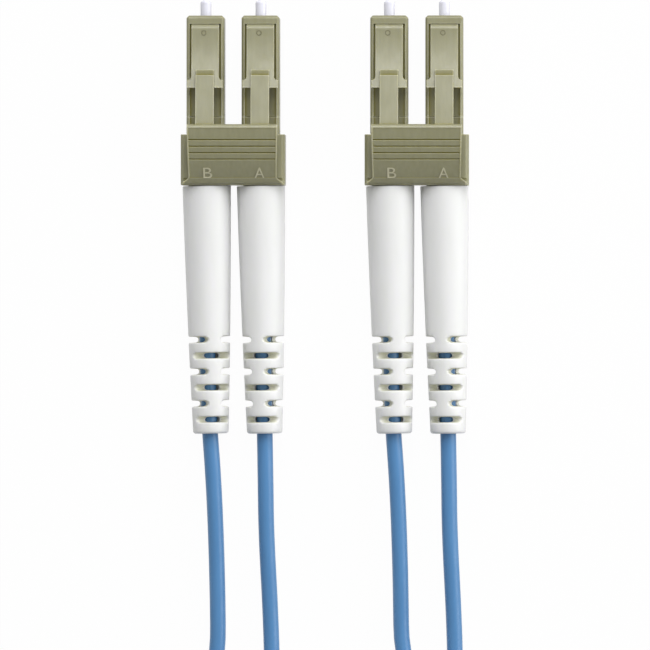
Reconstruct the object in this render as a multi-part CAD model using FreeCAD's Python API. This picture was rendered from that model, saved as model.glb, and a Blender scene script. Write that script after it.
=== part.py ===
import FreeCAD
import Part
import math
import os

# Duplex fibre patch cable in millimetres: two clipped pairs of plugs and the coiled cords between them.
# +Y points to the ferrule tips and +Z is up. The cable lies on the plane Z = 0.
# Inside a plug, a station is the distance behind its front face, and heights are from the plug's axis.

# Layout
PLUG_PITCH = 6.25
END_SPACING = 20.85

# Fits shared by the pieces
RUNNING_GAP = 0.05
PRESS_GAP = 0.01
SEAT_GAP = 0.1

# Ferrule and its metal flange
FERRULE_D = 1.25
FERRULE_PROTRUSION = 1.76
FERRULE_TIP_CHAMFER = 0.22
FERRULE_RELIEF = 0.03
FERRULE_SEAT = 1.2
FERRULE_TRAVEL = 0.8
FLANGE_WEB = 0.7
FLANGE_CHAMFER = 0.25
HUB_SIDES = 6
TAIL_D = 1.4
TAIL_ROOM = 0.35
BUFFER_D = 0.9

# Ferrule spring, wound in straight steps
WIRE = 0.2
SPRING_TURNS = 4
SPRING_STEPS = 6

# Plug housing
PLUG_SIDE = 4.3
PLUG_LENGTH = 11.5
PLUG_EDGE = 0.22
PLUG_FRONT_EDGE = 0.28
RIM_LENGTH = 0.95
FRONT_BORE_D = 2.5
FRONT_BORE_DEPTH = 3.4
SHOULDER = 0.6
SHOULDER_GAP = 0.15
CHAMBER_SIDE = 2.5
SIDE_WALL = 0.38
CHANNEL_FLOOR = 1.6

# Latch lever
LATCH_SIDE_GAP = 0.2
LATCH_RIM_GAP = 0.07
LATCH_ROOT_R = 0.55
LATCH_THICKNESS = 0.6
LATCH_FLAT = 2.41
LATCH_SLOPE = 16.5
LATCH_RUN = 4.28
EAR_SPAN = 4.06
EAR_LENGTH = 0.9
EAR_THICKNESS = 0.65
EAR_FILLET = 0.4

# Rear body of a plug
SPIGOT_LENGTH = 2.1
COLLAR_LENGTH = 1.9
COLLAR_STEP = 0.15
WAIST_SIDE = 4.1
BARREL_D = 2.4
BARREL_LENGTH = 4.9
BUFFER_ROOM = 0.3
INNER_SIDES = 8

# Crimp sleeve
CRIMP_WALL = 0.25
CRIMP_NECK = 3.2
CRIMP_CORD_GAP = 0.08
CRIMP_SIDES = 6

# Duplex clip
CLIP_LENGTH = 5.74
CLIP_WALL = 0.685
CLIP_ROOF = 0.6
CLIP_LIP = 0.7
CLIP_MOUTH = 3.2
CLIP_EDGE = 0.35

# Trigger
KNUCKLE_R = 0.35
KNUCKLE_SINK = 0.15
HINGE_SETBACK = 0.5
PADDLE_REACH = 1.1
PADDLE_FRONT_W = 10.25
PADDLE_REAR_W = 10.0
PADDLE_CROWN = 0.35
PADDLE_END_TURN = 35.0
PADDLE_HOLLOW = 0.2
PADDLE_LIP = 0.9
PADDLE_LIP_RISE = 0.55
PADDLE_LIP_ROUND = 0.45
PADDLE_RIM = 0.16
PADDLE_RECESS = 0.06
FLARE_LENGTH = 0.65
PRONG_W = 2.1
PRONG_OVERLAP = 2.05
PRONG_GAP = 0.12
PRONG_THICKNESS = 0.55
PRONG_SLOPE = 9.0
PRONG_TONGUE = 0.62
PRONG_STEP = 0.35
GRIP_COUNT = 4
GRIP_PITCH = 0.78
GRIP_START = 1.37
GRIP_HALF = 0.16
GRIP_DEPTH = 0.14

# Strain relief boot
BOOT_LENGTH = 28.05
BOOT_FRONT_D = 5.5
BOOT_WAIST_D = 4.83
BOOT_WAIST_AT = 16.45
BOOT_END_D = 4.1
BOOT_END_EDGE = 0.18
BOOT_CRIMP_GAP = 0.28
BOOT_CORD_GAP = 0.24
BOOT_TWIST = 17.5
BOOT_LEAN_B = 0.98
BOOT_LEAN_A = 0.87
BOOT_SHIFT_B = 0.08
BOOT_SIDES = 18
FLOOR_GAP = 0.05
SLOT_WIDTH = 0.8
SLOT_PITCH = 1.815
SLOT_LEVELS = 6
SLOT_END = 1.6
SLOT_FLOOR = 0.66
SLOT_CORNER = 0.25

# Cords and their coil
CORD_D = 1.8
CORD_SIDES = 8
COIL_Y = -76.0
COIL_PITCH = 1.85
COIL_R = 18.0
COIL_RINGS = 4
COIL_LAYERS = 4
COIL_SIDES = 36
TIE_THICKNESS = 0.4
TIE_WIDTH = 5.0

# Stations along a plug
hub_front = FRONT_BORE_DEPTH + SHOULDER + RUNNING_GAP
ferrule_end = hub_front + FERRULE_SEAT
hub_rear = ferrule_end + FLANGE_WEB
spigot_front = PLUG_LENGTH - SPIGOT_LENGTH
tail_end = spigot_front - FERRULE_TRAVEL - TAIL_ROOM
collar_rear = PLUG_LENGTH + COLLAR_LENGTH
clip_front = collar_rear + SEAT_GAP
clip_rear = clip_front + CLIP_LENGTH
waist_rear = clip_rear + RUNNING_GAP
boot_front = waist_rear + SEAT_GAP
boot_end = boot_front + BOOT_LENGTH
barrel_end = waist_rear + BARREL_LENGTH
crimp_front = boot_front + 2 * SEAT_GAP
crimp_step = barrel_end + 5 * SEAT_GAP
crimp_end = crimp_step + CRIMP_NECK
cord_start = crimp_step + SEAT_GAP

# Sizes that follow from the fits
channel_w = PLUG_SIDE - 2 * SIDE_WALL
latch_w = channel_w - 2 * LATCH_SIDE_GAP
pivot_at = RIM_LENGTH + LATCH_RIM_GAP + LATCH_ROOT_R
pivot_z = CHANNEL_FLOOR + RUNNING_GAP + LATCH_ROOT_R
latch_top = pivot_z + LATCH_ROOT_R
slope_at = pivot_at + LATCH_FLAT
latch_end = slope_at + LATCH_RUN
latch_rise = math.tan(math.radians(LATCH_SLOPE))
latch_end_z = latch_top + LATCH_RUN * latch_rise
pocket = WAIST_SIDE + RUNNING_GAP * 2
clip_w = PLUG_PITCH + pocket + 2 * CLIP_WALL
clip_top = pocket / 2 + CLIP_ROOF
clip_bottom = -pocket / 2 - CLIP_LIP
hinge_at = clip_rear - HINGE_SETBACK
hinge_z = clip_top + RUNNING_GAP + KNUCKLE_R - KNUCKLE_SINK
crimp_bore_d = BARREL_D + 2 * RUNNING_GAP
crimp_d = (crimp_bore_d + 2 * CRIMP_WALL) / math.cos(math.pi / CRIMP_SIDES)
neck_bore_d = CORD_D + 2 * CRIMP_CORD_GAP
neck_d = neck_bore_d + 2 * CRIMP_WALL
boot_bore_d = crimp_d + 2 * BOOT_CRIMP_GAP
boot_neck_d = CORD_D + 2 * BOOT_CORD_GAP
boot_lie = {"b": (BOOT_SHIFT_B, BOOT_LEAN_B), "a": (0.0, BOOT_LEAN_A)}
axis_z = max(-clip_bottom, BOOT_FRONT_D / 2 + FLOOR_GAP)
front_y = (FERRULE_PROTRUSION + boot_end) / 2 - FERRULE_PROTRUSION

ALONG_X = FreeCAD.Vector(1, 0, 0)
ALONG_Y = FreeCAD.Vector(0, 1, 0)
ALONG_Z = FreeCAD.Vector(0, 0, 1)
ORIGIN = FreeCAD.Vector(0, 0, 0)


def side(station, height):
    """A point of a plug's middle plane."""
    return FreeCAD.Vector(0, -station, height)


def plan(across, station):
    """A point of a plug's level plane through its axis."""
    return FreeCAD.Vector(across, -station, 0)


def block(width, start, end, low, high, across=0.0):
    """A box between two stations and two heights, centred on one place across the plug."""
    corner = FreeCAD.Vector(across - width / 2, -end, low)
    return Part.makeBox(width, end - start, high - low, corner)


def rod(diameter, start, end):
    """A round bar on the plug's axis between two stations."""
    return Part.makeCylinder(diameter / 2, end - start, side(end, 0), ALONG_Y)


def cross_rod(radius, station, height, width):
    """A round bar across the plug."""
    foot = FreeCAD.Vector(-width / 2, -station, height)
    return Part.makeCylinder(radius, width, foot, ALONG_X)


def face(plane, start, *steps):
    """A face bounded by lines, given by one point, and arcs, given by a middle and an end point."""
    edges = []
    here = start
    for step in steps + ((start,),):
        there = step[-1]
        if len(step) == 2:
            edges.append(Part.Arc(plane(*here), plane(*step[0]), plane(*there)).toShape())
        elif here != there:
            edges.append(Part.makeLine(plane(*here), plane(*there)))
        here = there
    return Part.Face(Part.Wire(edges))


def side_prism(width, start, *steps):
    """A side outline given its width across the plug."""
    solid = face(side, start, *steps).extrude(ALONG_X * width)
    solid.translate(ALONG_X * (-width / 2))
    return solid


def plan_prism(low, high, start, *steps):
    """A plan outline given its height."""
    solid = face(plan, start, *steps).extrude(ALONG_Z * (high - low))
    solid.translate(ALONG_Z * low)
    return solid


def bulge(first, last, height):
    """The middle of an arc that stands above its chord, for a chord that runs rearward."""
    run = last[0] - first[0]
    rise = last[1] - first[1]
    length = math.hypot(run, rise)
    middle_at = (first[0] + last[0]) / 2 - rise / length * height
    middle_z = (first[1] + last[1]) / 2 + run / length * height
    return (middle_at, middle_z)


def edges_along(solid, axis):
    """The straight edges that run along one axis."""
    found = []
    for edge in solid.Edges:
        reach = edge.Vertexes[-1].Point - edge.Vertexes[0].Point
        if reach.Length > 0 and abs(reach.dot(axis)) > 0.999 * reach.Length:
            found.append(edge)
    return found


def squared_bar(width, start, end):
    """A square bar on the plug's axis."""
    return block(width, start, end, -width / 2, width / 2)


def faceted_bar(sides, sections):
    """A bar of regular polygon section through (station, diameter over the corners) sections."""
    turns = [2 * math.pi * corner / sides for corner in range(sides + 1)]
    outward = [FreeCAD.Vector(math.cos(turn), 0, math.sin(turn)) for turn in turns]
    rings = []
    for station, diameter in sections:
        rings.append([side(station, 0) + out * (diameter / 2) for out in outward])
    faces = [Part.Face(Part.makePolygon(rings[0])), Part.Face(Part.makePolygon(rings[-1]))]
    for near, far in zip(rings, rings[1:]):
        for corner in range(sides):
            outline = [near[corner], near[corner + 1], far[corner + 1], far[corner], near[corner]]
            faces.append(Part.Face(Part.makePolygon(outline)))
    return Part.makeSolid(Part.makeShell(faces))


def faceted_bore(sides, diameter, start, end):
    """A bore of regular polygon section that clears a round bar of the given diameter."""
    over_corners = diameter / math.cos(math.pi / sides)
    return faceted_bar(sides, [(start, over_corners), (end, over_corners)])


def make_ferrule():
    """Ceramic ferrule: a chamfered mating end and a slightly relieved end pressed into the flange."""
    relief_at = FRONT_BORE_DEPTH - SEAT_GAP
    pin = rod(FERRULE_D, -FERRULE_PROTRUSION, relief_at)
    tip = [edge for edge in pin.Edges if edge.BoundBox.YMin > FERRULE_PROTRUSION - SEAT_GAP]
    pin = pin.makeChamfer(FERRULE_TIP_CHAMFER, tip)
    seat_d = FERRULE_D - 2 * FERRULE_RELIEF
    return pin.fuse(faceted_bar(INNER_SIDES, [(relief_at, seat_d), (ferrule_end, seat_d)]))


def make_flange():
    """Metal flange: a six-sided hub that holds the ferrule, and a tail tube."""
    hub_d = CHAMBER_SIDE - 2 * SHOULDER_GAP
    nose_d = hub_d - 2 * FLANGE_CHAMFER
    hub = faceted_bar(HUB_SIDES, [(hub_front, nose_d), (hub_front + FLANGE_CHAMFER, hub_d), (hub_rear, hub_d)])
    tail = faceted_bar(INNER_SIDES, [(hub_rear, TAIL_D), (tail_end, TAIL_D)])
    socket_d = FERRULE_D - 2 * FERRULE_RELIEF + 2 * PRESS_GAP
    flange = hub.fuse(tail).cut(faceted_bore(INNER_SIDES, socket_d, hub_front, ferrule_end))
    return flange.cut(faceted_bore(INNER_SIDES, BUFFER_D + 2 * RUNNING_GAP, ferrule_end, tail_end))


def make_spring():
    """Compression spring of square wire between the flange and the rear body."""
    radius = (TAIL_D + CHAMBER_SIDE) / 4
    half = WIRE / 2
    first = hub_rear + RUNNING_GAP + half
    length = spigot_front - RUNNING_GAP - half - first
    steps = SPRING_TURNS * SPRING_STEPS
    centres = []
    for step in range(steps + 1):
        turn = 2 * math.pi * step / SPRING_STEPS
        out = FreeCAD.Vector(math.cos(turn), 0, math.sin(turn)) * radius
        centres.append(side(first + length * step / steps, 0) + out)
    corners = [(-half, -half), (half, -half), (half, half), (-half, half), (-half, -half)]
    section = Part.makePolygon([centres[0] + FreeCAD.Vector(x, y, 0) for x, y in corners])
    return Part.makePolygon(centres).makePipeShell([section], True, False, 1)


def make_housing():
    """Square plug housing: a round front bore, a square spring chamber and an open channel on top."""
    body = squared_bar(PLUG_SIDE, 0, PLUG_LENGTH)
    body = body.makeChamfer(PLUG_EDGE, edges_along(body, ALONG_Y))
    front = [edge for edge in body.Edges if edge.BoundBox.YMin > -SEAT_GAP]
    body = body.makeChamfer(PLUG_FRONT_EDGE, front)
    body = body.cut(block(channel_w, RIM_LENGTH, PLUG_LENGTH, CHANNEL_FLOOR, PLUG_SIDE))
    shoulder_d = FERRULE_D + 2 * SHOULDER_GAP
    shoulder_end = FRONT_BORE_DEPTH + SHOULDER
    body = body.cut(rod(FRONT_BORE_D, 0, FRONT_BORE_DEPTH))
    body = body.cut(faceted_bore(INNER_SIDES, shoulder_d, FRONT_BORE_DEPTH, shoulder_end))
    return body.cut(squared_bar(CHAMBER_SIDE, shoulder_end, PLUG_LENGTH)).removeSplitter()


def make_latch():
    """Latch lever: a round root, a flat, and a rising arm that ends in two locking ears."""
    flat_bottom = latch_top - LATCH_THICKNESS
    arm = side_prism(
        EAR_SPAN,
        (pivot_at, flat_bottom),
        ((pivot_at, latch_top),),
        ((slope_at, latch_top),),
        ((latch_end, latch_end_z),),
        ((latch_end, latch_end_z - EAR_THICKNESS),),
        ((slope_at, flat_bottom),),
    )
    root = cross_rod(LATCH_ROOT_R, pivot_at, pivot_z, EAR_SPAN)
    narrow = latch_w / 2
    wide = EAR_SPAN / 2
    front = pivot_at - LATCH_ROOT_R
    ear_front = latch_end - EAR_LENGTH
    fillet = min(EAR_FILLET, wide - narrow)
    corner = fillet * math.sqrt(0.5)
    outline = plan_prism(
        0,
        latch_end_z,
        (-narrow, front),
        ((narrow, front),),
        ((narrow, ear_front - fillet),),
        ((narrow + fillet - corner, ear_front - fillet + corner), (narrow + fillet, ear_front)),
        ((wide, ear_front),),
        ((wide, latch_end),),
        ((-wide, latch_end),),
        ((-wide, ear_front),),
        ((-narrow - fillet, ear_front),),
        ((-narrow - fillet + corner, ear_front - fillet + corner), (-narrow, ear_front - fillet)),
    )
    return arm.fuse(root).common(outline).removeSplitter()


def make_rear_body():
    """Rear body: a spigot, a collar that carries the channel on, the waist for the clip, and a barrel."""
    spigot = squared_bar(CHAMBER_SIDE - 2 * RUNNING_GAP, spigot_front, PLUG_LENGTH)
    collar = squared_bar(PLUG_SIDE, PLUG_LENGTH, collar_rear)
    collar = collar.makeChamfer(PLUG_EDGE, edges_along(collar, ALONG_Y))
    collar = collar.cut(block(channel_w, PLUG_LENGTH, collar_rear, CHANNEL_FLOOR + COLLAR_STEP, PLUG_SIDE))
    waist = squared_bar(WAIST_SIDE, collar_rear, waist_rear)
    barrel = faceted_bar(INNER_SIDES, [(waist_rear, BARREL_D), (barrel_end, BARREL_D)])
    body = spigot.multiFuse([collar, waist, barrel])
    bore = faceted_bore(INNER_SIDES, BUFFER_D + 2 * BUFFER_ROOM, spigot_front, barrel_end)
    return body.cut(bore).removeSplitter()


def make_crimp_sleeve():
    """Hexagonally crimped metal sleeve over the barrel, with a neck over the start of the cord."""
    body = faceted_bar(CRIMP_SIDES, [(crimp_front, crimp_d), (crimp_step, crimp_d)])
    body = body.fuse(faceted_bore(INNER_SIDES, neck_d, crimp_step, crimp_end))
    body = body.cut(faceted_bore(INNER_SIDES, crimp_bore_d, crimp_front, barrel_end + SEAT_GAP))
    return body.cut(faceted_bore(INNER_SIDES, neck_bore_d, crimp_front, crimp_end)).removeSplitter()


def make_buffered_fibre():
    """The buffered fibre between the flange's tail and the cord."""
    start = ferrule_end + FERRULE_TRAVEL + SEAT_GAP
    return faceted_bar(INNER_SIDES, [(start, BUFFER_D), (cord_start - SEAT_GAP, BUFFER_D)])


def make_boot():
    """Tapered flexible boot, faceted finely, with rows of cuts from alternate sides."""
    sections = [
        (boot_front, BOOT_FRONT_D),
        (boot_front + BOOT_WAIST_AT, BOOT_WAIST_D),
        (boot_end - BOOT_END_EDGE, BOOT_END_D),
        (boot_end, BOOT_END_D - 2 * BOOT_END_EDGE),
    ]
    boot = faceted_bar(BOOT_SIDES, sections)
    boot = boot.cut(faceted_bore(INNER_SIDES, boot_bore_d, boot_front, crimp_end + 4 * SEAT_GAP))
    boot = boot.cut(faceted_bore(INNER_SIDES, boot_neck_d, boot_front, boot_end))
    across = 2 * BOOT_FRONT_D
    half = SLOT_WIDTH / 2
    cuts = []
    for level in range(SLOT_LEVELS):
        middle = boot_end - SLOT_END - level * SLOT_PITCH
        cut = side_prism(
            across,
            (middle - half, across),
            ((middle - half, SLOT_FLOOR + SLOT_CORNER),),
            ((middle - half + SLOT_CORNER, SLOT_FLOOR),),
            ((middle + half - SLOT_CORNER, SLOT_FLOOR),),
            ((middle + half, SLOT_FLOOR + SLOT_CORNER),),
            ((middle + half, across),),
        )
        for turn in (0, 180):
            turned = cut.copy()
            turned.rotate(ORIGIN, ALONG_Y, turn + 90 * (level % 2))
            cuts.append(turned)
    return boot.cut(cuts)


def make_clip():
    """Duplex clip: a block with two square pockets, open below between snap lips."""
    body = block(clip_w, clip_front, clip_rear, clip_bottom, clip_top)
    body = body.makeChamfer(CLIP_EDGE, edges_along(body, ALONG_Y))
    for across in (-PLUG_PITCH / 2, PLUG_PITCH / 2):
        body = body.cut(block(pocket, clip_front, clip_rear, -pocket / 2, pocket / 2, across))
        body = body.cut(block(CLIP_MOUTH, clip_front, clip_rear, clip_bottom, 0, across))
    return body.cut(cross_rod(KNUCKLE_R + RUNNING_GAP, hinge_at, hinge_z, clip_w))


def make_prong():
    """Prong that reaches forward from the paddle and ends in a thin tongue over the rear of a latch."""
    tip = latch_end - PRONG_OVERLAP
    foot = latch_end + SEAT_GAP
    join = clip_front
    rise = math.tan(math.radians(PRONG_SLOPE))
    tip_z = latch_end_z - PRONG_OVERLAP * latch_rise + PRONG_GAP
    foot_z = latch_end_z + SEAT_GAP * latch_rise + PRONG_GAP
    top_z = foot_z + PRONG_THICKNESS
    step_at = tip + PRONG_TONGUE
    step_z = top_z - (foot - step_at) * rise
    return side_prism(
        PRONG_W,
        (tip, tip_z),
        ((foot, foot_z),),
        ((join, foot_z + (join - foot) * rise),),
        ((join, top_z + (join - foot) * rise),),
        ((step_at, step_z),),
        ((step_at, step_z - PRONG_STEP),),
        ((tip, step_z - PRONG_STEP),),
    )


def make_trigger():
    """Duplex trigger: a crowned paddle with a thin rim and grip grooves, a rear knuckle and two prongs."""
    front = clip_front - PADDLE_REACH
    foot = latch_end + SEAT_GAP
    prong_rise = math.tan(math.radians(PRONG_SLOPE))
    prong_top = latch_end_z + SEAT_GAP * latch_rise + PRONG_GAP + PRONG_THICKNESS + (front - foot) * prong_rise
    lip_top = prong_top + PADDLE_LIP_RISE
    round_off = PADDLE_LIP_ROUND * (1 - math.sqrt(0.5))
    crown_start = (front + PADDLE_LIP_ROUND, lip_top)
    end_turn = math.radians(PADDLE_END_TURN)
    crown_end = (hinge_at + KNUCKLE_R * math.sin(end_turn), hinge_z + KNUCKLE_R * math.cos(end_turn))
    under_start = (front, lip_top - PADDLE_LIP)
    under_end = (hinge_at, hinge_z)
    crown_middle = bulge(crown_start, crown_end, PADDLE_CROWN)
    paddle = side_prism(
        clip_w,
        under_start,
        ((front, lip_top - PADDLE_LIP_ROUND),),
        ((front + round_off, lip_top - round_off), crown_start),
        (crown_middle, crown_end),
        (under_end,),
        (bulge(under_start, under_end, PADDLE_HOLLOW), under_start),
    )
    paddle = paddle.fuse(cross_rod(KNUCKLE_R, hinge_at, hinge_z, clip_w))
    front_half = PADDLE_FRONT_W / 2
    rear_half = PADDLE_REAR_W / 2
    root_half = clip_w / 2 - SEAT_GAP
    root_end = hinge_at + KNUCKLE_R
    flare_at = root_end - FLARE_LENGTH
    outline = plan_prism(
        0,
        2 * lip_top,
        (-front_half, front),
        ((front_half, front),),
        ((rear_half, flare_at),),
        ((root_half, root_end),),
        ((-root_half, root_end),),
        ((-rear_half, flare_at),),
    )
    trigger = paddle.common(outline)
    within = plan_prism(
        0,
        2 * lip_top,
        (PADDLE_RIM - front_half, front),
        ((front_half - PADDLE_RIM, front),),
        ((rear_half - PADDLE_RIM, flare_at),),
        ((PADDLE_RIM - rear_half, flare_at),),
    )
    floor_start, floor_middle, floor_end = [
        (at, z - PADDLE_RECESS) for at, z in (crown_start, crown_middle, crown_end)
    ]
    recess = side_prism(
        clip_w,
        floor_start,
        (floor_middle, floor_end),
        ((floor_end[0], 2 * lip_top),),
        ((floor_start[0], 2 * lip_top),),
    )
    floor = Part.Arc(side(*floor_start), side(*floor_middle), side(*floor_end))
    for step in range(GRIP_COUNT):
        point = floor.value(floor.parameterAtDistance(GRIP_START + step * GRIP_PITCH, floor.FirstParameter))
        groove = side_prism(
            clip_w,
            (-point.y, point.z - GRIP_DEPTH),
            ((-point.y - GRIP_HALF, point.z + GRIP_HALF),),
            ((-point.y + GRIP_HALF, point.z + GRIP_HALF),),
        )
        recess = recess.fuse(groove)
    trigger = trigger.cut(recess.common(within))
    for across in (-PLUG_PITCH / 2, PLUG_PITCH / 2):
        prong = make_prong()
        prong.translate(ALONG_X * across)
        trigger = trigger.fuse(prong)
    return trigger.removeSplitter()


def rounded_route(points):
    """A wire of straight runs joined by the largest tangent arcs that the runs leave room for."""
    edges = []
    radii = []
    here = points[0]
    for before, point, after in zip(points, points[1:], points[2:]):
        back = (before - point).normalize()
        on = (after - point).normalize()
        half_turn = (math.pi - back.getAngle(on)) / 2
        reach = 0.45 * min((before - point).Length, (after - point).Length)
        radius = reach / math.tan(half_turn)
        middle = point + (back + on).normalize() * (radius / math.cos(half_turn) - radius)
        arc_start = point + back * reach
        arc_end = point + on * reach
        edges.append(Part.makeLine(here, arc_start))
        edges.append(Part.Arc(arc_start, middle, arc_end).toShape())
        radii.append(round(radius, 1))
        here = arc_end
    edges.append(Part.makeLine(here, points[-1]))
    return Part.Wire(edges), radii


def make_cord(name, points):
    """A cord's free stretch as a plain eight-sided tube along its route."""
    route, radii = rounded_route(points)
    outline = faceted_bar(CORD_SIDES, [(0, CORD_D), (1, CORD_D)])
    section = outline.Faces[0].OuterWire
    lie = FreeCAD.Rotation(FreeCAD.Vector(0, -1, 0), points[1] - points[0])
    section.Placement = FreeCAD.Placement(points[0], lie)
    tube = route.makePipeShell([section], True, False)
    expected = outline.Faces[0].Area * route.Length
    print(name, "radii", radii, "length", round(route.Length, 1), "volume ratio", round(tube.Volume / expected, 4))
    return tube


def ring_sector(inner, outer, low, high, start, sweep):
    """Part of a ring about the coil's centre, from one angle over a sweep."""
    centre = FreeCAD.Vector(0, COIL_Y, 0)
    corners = [(inner, low), (outer, low), (outer, high), (inner, high), (inner, low)]
    section = Part.Face(Part.makePolygon([centre + FreeCAD.Vector(r, 0, z) for r, z in corners]))
    sector = section.revolve(centre, ALONG_Z, sweep)
    sector.rotate(centre, ALONG_Z, start)
    return sector


# Coil outline, shared with the ties and the cords that lead to it
coil_low = TIE_THICKNESS + RUNNING_GAP
coil_high = coil_low + (COIL_LAYERS - 1) * COIL_PITCH + CORD_D
coil_inner = COIL_R - COIL_RINGS * COIL_PITCH - CORD_D / 2
coil_outer = COIL_R + CORD_D / 2
coil_step = COIL_R - CORD_D / 2


def make_coil():
    """The outer shape of the coil: a faceted ring with the first and last half turns outside it."""
    turns = [2 * math.pi * corner / COIL_SIDES for corner in range(COIL_SIDES + 1)]
    half = COIL_SIDES // 2
    hole_r = coil_inner / math.cos(math.pi / COIL_SIDES)
    outline = [(coil_step, turn) for turn in turns[: half + 1]] + [(coil_outer, turn) for turn in turns[half:]]
    loops = []
    for corners in (outline + outline[:1], [(hole_r, turn) for turn in turns]):
        points = [FreeCAD.Vector(r * math.cos(t), COIL_Y + r * math.sin(t), coil_low) for r, t in corners]
        loops.append(Part.Face(Part.makePolygon(points)))
    return loops[0].cut(loops[1]).extrude(ALONG_Z * (coil_high - coil_low))


def make_tie(outer, angle):
    """A strap wrapped around the coil's section."""
    sweep = math.degrees(TIE_WIDTH / COIL_R)
    start = angle - sweep / 2
    gap = RUNNING_GAP
    wall = TIE_THICKNESS + gap
    strap = ring_sector(coil_inner - wall, outer + wall, coil_low - wall, coil_high + wall, start, sweep)
    window = ring_sector(coil_inner - gap, outer + gap, coil_low - gap, coil_high + gap, start, sweep)
    return strap.cut(window)


# Cord routes past the plugs: the points between each boot and the coil, and the coil layer they reach
CORD_TURN_Y = -65.0
CORD_CLEAR = 2.4
CORD_ROUTES = {
    "left_b": ((-12.2, -53.0, 1.0), -COIL_R, 0),
    "left_a": ((-6.05, -53.0, 1.2), -COIL_R, 1),
    "right_b": ((8.65, -53.0, 1.2), COIL_R, 3),
    "right_a": ((14.8, -53.0, 1.0), COIL_R, 2),
}


def cord_points(plug, across):
    """A cord's route from its crimp sleeve, through the leaning boot, to the coil."""
    shift, lean_degrees = boot_lie[plug[-1]]
    lean = math.radians(lean_degrees)
    run = BOOT_LENGTH + CORD_CLEAR
    start = FreeCAD.Vector(across, front_y - cord_start, axis_z)
    beyond_x = across + shift + run * math.sin(lean)
    beyond_y = front_y - boot_front - run * math.cos(lean)
    beyond = FreeCAD.Vector(beyond_x, beyond_y, axis_z)
    middle, coil_x, layer = CORD_ROUTES[plug]
    layer_z = coil_low + CORD_D / 2 + layer * COIL_PITCH
    turn = FreeCAD.Vector(coil_x, CORD_TURN_Y, layer_z)
    end = FreeCAD.Vector(coil_x, COIL_Y, layer_z)
    return [start, beyond, FreeCAD.Vector(*middle), turn, end]


def placed(solid, across):
    """A copy of a plug's piece at its place in the cable."""
    copy = solid.copy()
    copy.translate(FreeCAD.Vector(across, front_y, axis_z))
    return copy


def placed_boot(solid, across, letter, twist):
    """A boot turned about its axis, set a little to one side and leaning from its front end."""
    shift, lean = boot_lie[letter]
    boot = solid.copy()
    boot.rotate(ORIGIN, ALONG_Y, twist)
    boot.rotate(side(boot_front, 0), ALONG_Z, lean)
    return placed(boot, across + shift)


plug_pieces = {
    "ferrule": make_ferrule(),
    "ferrule_flange": make_flange(),
    "ferrule_spring": make_spring(),
    "plug_housing": make_housing(),
    "latch": make_latch(),
    "rear_body": make_rear_body(),
    "crimp_sleeve": make_crimp_sleeve(),
    "buffered_fibre": make_buffered_fibre(),
}
boot_piece = make_boot()
end_pieces = {"clip": make_clip(), "trigger": make_trigger()}

parts = {}
for end_name, end_across in (("left", -END_SPACING / 2), ("right", END_SPACING / 2)):
    for piece, solid in end_pieces.items():
        parts[f"{end_name}_{piece}"] = placed(solid, end_across)
    for letter, sign in (("b", -1), ("a", 1)):
        plug_name = f"{end_name}_{letter}"
        plug_across = end_across + sign * PLUG_PITCH / 2
        for piece, solid in plug_pieces.items():
            parts[f"{plug_name}_{piece}"] = placed(solid, plug_across)
        parts[f"{plug_name}_boot"] = placed_boot(boot_piece, plug_across, letter, -sign * BOOT_TWIST)
        cord_name = f"{plug_name}_cord"
        parts[cord_name] = make_cord(cord_name, cord_points(plug_name, plug_across))
parts["cord_coil"] = make_coil()
parts["coil_tie_near"] = make_tie(coil_step, 90)
parts["coil_tie_far"] = make_tie(coil_outer, 270)

os.makedirs("parts", exist_ok=True)
for node, shape in parts.items():
    shape.exportStep(f"parts/{node}.step")
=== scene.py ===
import math

import bmesh
import bpy
from mathutils import Matrix, Vector
from mathutils.bvhtree import BVHTree


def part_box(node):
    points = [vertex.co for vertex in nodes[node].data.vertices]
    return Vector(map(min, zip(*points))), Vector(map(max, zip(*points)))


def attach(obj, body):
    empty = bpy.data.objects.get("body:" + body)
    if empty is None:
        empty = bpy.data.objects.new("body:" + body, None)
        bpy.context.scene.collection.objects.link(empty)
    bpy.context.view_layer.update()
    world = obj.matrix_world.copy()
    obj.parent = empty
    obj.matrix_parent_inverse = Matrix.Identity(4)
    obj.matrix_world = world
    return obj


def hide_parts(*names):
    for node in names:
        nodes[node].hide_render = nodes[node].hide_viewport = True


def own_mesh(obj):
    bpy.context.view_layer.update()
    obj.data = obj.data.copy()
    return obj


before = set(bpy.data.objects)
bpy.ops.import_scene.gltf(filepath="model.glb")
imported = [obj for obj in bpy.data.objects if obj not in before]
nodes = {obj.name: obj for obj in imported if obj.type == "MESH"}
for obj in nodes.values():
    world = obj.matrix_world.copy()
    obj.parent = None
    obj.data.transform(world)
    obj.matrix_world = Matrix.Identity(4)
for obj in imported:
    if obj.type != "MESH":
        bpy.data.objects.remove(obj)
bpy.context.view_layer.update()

# Duplex fibre patch cable: the finish of its solids, and its boots, springs, letters, straps and cords.
# Sizes are in millimetres, which MM turns into metres, and angles are in degrees.
# +Y points to the ferrule tips. A station is the distance behind a plug's front face.
MM = 0.001
BODY = "cable"
PLUG_X = {"left_b": -13.55, "left_a": -7.30, "right_b": 7.30, "right_a": 13.55}
ENDS = {end: (PLUG_X[f"{end}_b"] + PLUG_X[f"{end}_a"]) / 2 for end in ("left", "right")}
AXIS_Z = 2.8
FRONT_Y = 22.84

# Picture frame: the photo's scale, and the pixel where the object's origin shows
PHOTO_PIXELS = 650
PIXELS_PER_MM = 8.8
ORIGIN_PIXEL = (325.2, 217.0)
CAMERA_DISTANCE = 1000.0
CAMERA_TILT = 1.2

# Edge rounding: edges sharper than EDGE_ANGLE are rounded in EDGE_STEPS steps. On the solids, points within
# WELD_REACH and faces within FLAT_ANGLE of each other are merged first.
EDGE_ANGLE = 24.0
EDGE_STEPS = 3
WELD_REACH = 0.002
FLAT_ANGLE = 1.0

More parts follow.
